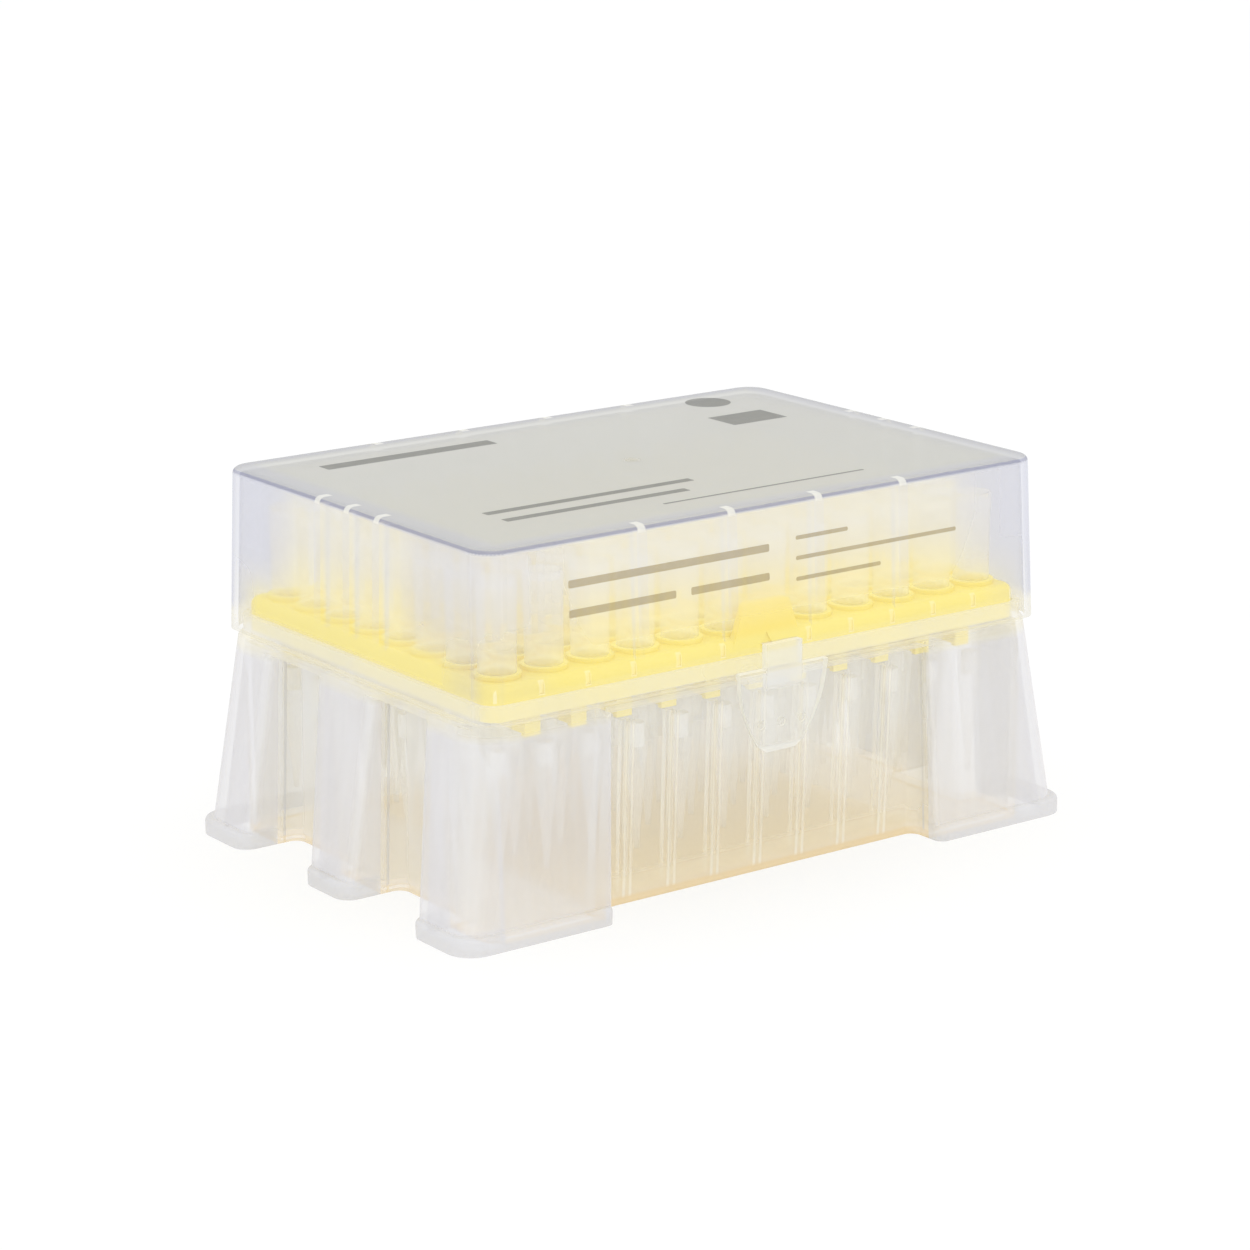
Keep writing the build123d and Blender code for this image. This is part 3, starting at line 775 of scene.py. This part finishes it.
# Print: bars on the front wall (x from, x to, z from, z to), bars on the top (x from, x to, y from,
# y to), and discs on the top (x, y, radius)
FRONT_BARS = [(-41.5, -20.5, 51.6, 52.9), (-41.5, -1.5, 56.4, 57.7), (-17.5, -1.5, 51.6, 52.9),
              (4.0, 15.0, 57.5, 58.2), (4.0, 38.5, 54.1, 54.8), (4.0, 22.0, 50.6, 51.3)]
TOP_BARS = [(-45.0, -10.5, 25.2, 28.6), (-42.5, -1.0, -19.2, -17.2), (-42.5, -6.0, -24.8, -22.8),
            (-15.5, 26.5, -30.3, -29.6), (31.5, 43.5, 12.0, 20.0)]
TOP_DISCS = [(40.0, 31.0, 4.2)]
BAR_R, BAR_CORNER_STEPS, DISC_STEPS = 0.3, 6, 48
FRONT_PROUD, TOP_PROUD = 0.03, 0.005


def rounded_bar(u0, u1, v0, v1):
    """Outline of a rectangle with round corners.

    Each corner is a quarter circle about a centre set in by BAR_R from both sides. The quarters
    start at 0, 90, 180 and 270 degrees in turn.
    """
    start = np.radians([0.0, 90.0, 180.0, 270.0])[:, None]
    turn = start + np.radians(90.0) * np.arange(BAR_CORNER_STEPS + 1)[None, :] / BAR_CORNER_STEPS
    middle_u = np.array([u1 - BAR_R, u0 + BAR_R, u0 + BAR_R, u1 - BAR_R])[:, None]
    middle_v = np.array([v1 - BAR_R, v1 - BAR_R, v0 + BAR_R, v0 + BAR_R])[:, None]
    outline = np.stack([middle_u + BAR_R * np.cos(turn), middle_v + BAR_R * np.sin(turn)], -1)
    return outline.reshape(-1, 2)


def disc(u, v, radius):
    """Circle outline: (u + radius cos t, v + radius sin t) for t evenly round the turn."""
    turn = np.arange(DISC_STEPS) * 2 * math.pi / DISC_STEPS
    return np.stack([u + radius * np.cos(turn), v + radius * np.sin(turn)], -1)


def printed(name, outlines, lay, material):
    """Flat patches of print: one face for each outline, its points laid on the lid by lay(u, v)."""
    points = np.vstack([lay(outline[:, 0], outline[:, 1]) for outline in outlines])
    ends = np.cumsum([len(outline) for outline in outlines])
    faces = [range(end - len(outline), end) for end, outline in zip(ends, outlines)]
    made = mesh_object(name, points, faces, material, smooth=False)
    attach(made, "lid")
    return made


def on_front(x, z):
    """Points just proud of the lid's front wall: y = -(half width - slope (z - low)) - proud."""
    wall = LID_HALF[1] - LID_SLOPE * (z - LID_LOW_Z)
    return np.stack([x, -wall - FRONT_PROUD, z], -1)


def on_top(x, y):
    """Points just above the upper face of the lid."""
    return np.stack([x, y, np.full_like(x, LID_TOP_Z + TOP_PROUD)], -1)


# ---------------------------------------------------------------- studio

SENSOR_WIDTH, CLIP_START = 36.0, 0.01
FLOOR_HALF, FLOOR_DROP = 4000.0, 0.02


def place_camera(scene):
    """Camera on the ray from the aim point, turned about its own axis by the roll."""
    view = scene.tipbox_camera
    forward = Vector((-math.sin(view.azimuth) * math.cos(view.elevation),
                      math.cos(view.azimuth) * math.cos(view.elevation), -math.sin(view.elevation)))
    right = Vector((math.cos(view.azimuth), math.sin(view.azimuth), 0.0))
    up = right.cross(forward)
    across = right * math.cos(view.roll) + up * math.sin(view.roll)
    upward = up * math.cos(view.roll) - right * math.sin(view.roll)
    stand = Vector((0.0, 0.0, view.aim)) - forward * view.distance
    stand += across * view.slide_across + upward * view.slide_up
    camera = bpy.data.objects.new("camera", bpy.data.cameras.new("camera"))
    camera.data.lens = view.lens
    camera.data.sensor_width = SENSOR_WIDTH
    camera.data.clip_start = CLIP_START
    turned = Matrix((across, upward, -forward)).transposed().to_4x4()
    camera.matrix_world = Matrix.Translation(stand) @ turned
    scene.collection.objects.link(camera)
    scene.camera = camera


def seen_directly(tree):
    """1 for what the eye sees itself, in gloss or through clear plastic, 0 for soft light."""
    path = tree.nodes.new("ShaderNodeLightPath")
    return either(tree, path.outputs["Is Camera Ray"], path.outputs["Is Glossy Ray"],
                  path.outputs["Is Transmission Ray"])


def seen_or_lit(tree, seen, lit, output):
    """End a tree with one shader for what is seen directly and another for soft light."""
    mix = tree.nodes.new("ShaderNodeMixShader")
    link(tree, seen_directly(tree), mix.inputs[0])
    link(tree, lit.outputs[0], mix.inputs[1])
    link(tree, seen.outputs[0], mix.inputs[2])
    link(tree, mix.outputs[0], tree.nodes.new(output).inputs["Surface"])


def coloured(tree, kind, colour):
    """New shader node of a kind with its colour set."""
    node = tree.nodes.new(kind)
    node.inputs["Color"].default_value = (*colour, 1.0)
    return node


def pale_floor(studio):
    """Wide floor that reads as plain white and keeps a faint shadow of the box."""
    material = bpy.data.materials.new("pale_floor")
    material.use_nodes = True
    tree = material.node_tree
    tree.nodes.clear()
    lit = coloured(tree, "ShaderNodeBsdfDiffuse", studio.floor)
    shadowed = coloured(tree, "ShaderNodeBsdfDiffuse", studio.floor_shadow)
    glow = tree.nodes.new("ShaderNodeEmission")
    glow.inputs["Strength"].default_value = studio.floor_glow
    seen = tree.nodes.new("ShaderNodeAddShader")
    link(tree, shadowed.outputs[0], seen.inputs[0])
    link(tree, glow.outputs[0], seen.inputs[1])
    seen_or_lit(tree, seen, lit, "ShaderNodeOutputMaterial")
    corners = [(FLOOR_HALF * x, FLOOR_HALF * y, -FLOOR_DROP)
               for x, y in ((-1, -1), (1, -1), (1, 1), (-1, 1))]
    mesh_object("floor", corners, [(0, 1, 2, 3)], material, smooth=False)


def surroundings(scene):
    """Even light from all round, and a plain tone where it is seen in gloss or directly."""
    studio = scene.tipbox_studio
    world = bpy.data.worlds.new("surroundings")
    world.use_nodes = True
    scene.world = world
    tree = world.node_tree
    tree.nodes.clear()
    seen = coloured(tree, "ShaderNodeBackground", studio.sky_seen)
    lit = coloured(tree, "ShaderNodeBackground", studio.sky)
    lit.inputs["Strength"].default_value = studio.sky_strength
    seen_or_lit(tree, seen, lit, "ShaderNodeOutputWorld")


def soft_light(name, where, aim, size, power):
    """Square area light at a place, turned to its aim; all lengths are in metres."""
    lamp = bpy.data.lights.new(name, "AREA")
    lamp.energy = power
    lamp.size = size
    made = bpy.data.objects.new(name, lamp)
    turned = (aim - where).to_track_quat("-Z", "Y").to_matrix().to_4x4()
    made.matrix_world = Matrix.Translation(where) @ turned
    bpy.context.scene.collection.objects.link(made)


# ---------------------------------------------------------------- operators


def quiet(obj, shadow=False, diffuse=False):
    """Clear layers neither shade one another nor stop the soft light inside the box."""
    obj.visible_shadow = shadow
    obj.visible_diffuse = diffuse


def dress(name, material, solid=False):
    """Give a node of the frame its one material; a solid one keeps its shadow."""
    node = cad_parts[name]
    node.data.materials.clear()
    node.data.materials.append(material)
    quiet(node, shadow=solid, diffuse=solid)


class TIPBOX_OT_shells(bpy.types.Operator):
    """Dress the base and the lid in their clear plastics"""

    bl_idname = "tipbox.shells"
    bl_label = "Base and lid"

    def execute(self, context):
        looks = context.scene.tipbox_looks
        dress("base", base_material(looks))
        dress("lid", lid_material(looks))
        return {"FINISHED"}


class TIPBOX_OT_tray(bpy.types.Operator):
    """Dress the yellow tray and the white filters"""

    bl_idname = "tipbox.tray"
    bl_label = "Tray and filters"

    def execute(self, context):
        looks = context.scene.tipbox_looks
        dress("tip_tray", tray_material(looks), solid=True)
        material = filter_material(looks)
        for number in range(1, COLUMNS + 1):
            dress(f"filters_column_{number:02d}", material)
        return {"FINISHED"}


class TIPBOX_OT_tips(bpy.types.Operator):
    """Lathe the fluted tips, one piece per column"""

    bl_idname = "tipbox.tips"
    bl_label = "Tips"

    def execute(self, context):
        material = tip_material(context.scene.tipbox_looks)
        for number, x in enumerate(COLUMN_X, 1):
            quiet(tip_column(number, x, material))
        return {"FINISHED"}


class TIPBOX_OT_marks(bpy.types.Operator):
    """Print plain bars and a disc where the lid carries its marking"""

    bl_idname = "tipbox.marks"
    bl_label = "Plain print"

    def execute(self, context):
        looks = context.scene.tipbox_looks
        front = [rounded_bar(*bar) for bar in FRONT_BARS]
        gold = ink_material("gold_ink", looks.gold_ink, looks.ink_opacity)
        quiet(printed("front_print", front, on_front, gold))
        top = [rounded_bar(*bar) for bar in TOP_BARS] + [disc(*each) for each in TOP_DISCS]
        grey = ink_material("grey_ink", looks.grey_ink, looks.ink_opacity)
        quiet(printed("top_print", top, on_top, grey))
        return {"FINISHED"}


class TIPBOX_OT_studio(bpy.types.Operator):
    """Set up the camera, the white floor, the lights and the surroundings"""

    bl_idname = "tipbox.studio"
    bl_label = "Studio"

    def execute(self, context):
        scene = context.scene
        studio = scene.tipbox_studio
        scene.view_settings.view_transform = "Standard"
        place_camera(scene)
        pale_floor(studio)
        surroundings(scene)
        aim = Vector((0.0, 0.0, studio.aim))
        soft_light("key", studio.key_place, aim, studio.key_size, studio.key_power)
        soft_light("fill", studio.fill_place, aim, studio.fill_size, studio.fill_power)
        return {"FINISHED"}


class TIPBOX_PT_panel(bpy.types.Panel):
    """Sidebar panel with the settings and the steps."""

    bl_idname = "TIPBOX_PT_panel"
    bl_label = "Tip box"
    bl_space_type = "VIEW_3D"
    bl_region_type = "UI"
    bl_category = "Tip box"

    def draw(self, context):
        scene = context.scene
        for settings in (scene.tipbox_looks, scene.tipbox_camera, scene.tipbox_studio):
            for name in type(settings).__annotations__:
                self.layout.prop(settings, name)
        for step in STEPS:
            self.layout.operator(step.bl_idname)


STEPS = (TIPBOX_OT_shells, TIPBOX_OT_tray, TIPBOX_OT_tips, TIPBOX_OT_marks, TIPBOX_OT_studio)
CLASSES = (TipBoxCamera, TipBoxStudio, TipBoxLooks, *STEPS, TIPBOX_PT_panel)


def register():
    """Add the classes, and the settings to every scene."""
    for item in CLASSES:
        bpy.utils.register_class(item)
    bpy.types.Scene.tipbox_camera = bpy.props.PointerProperty(type=TipBoxCamera)
    bpy.types.Scene.tipbox_studio = bpy.props.PointerProperty(type=TipBoxStudio)
    bpy.types.Scene.tipbox_looks = bpy.props.PointerProperty(type=TipBoxLooks)


def unregister():
    """Take the settings and the classes away again."""
    del bpy.types.Scene.tipbox_looks
    del bpy.types.Scene.tipbox_studio
    del bpy.types.Scene.tipbox_camera
    for item in reversed(CLASSES):
        bpy.utils.unregister_class(item)


def main():
    """Run every step in order."""
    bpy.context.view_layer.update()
    register()
    for step in STEPS:
        family, verb = step.bl_idname.split(".")
        getattr(getattr(bpy.ops, family), verb)()


if __name__ == "__main__":
    main()
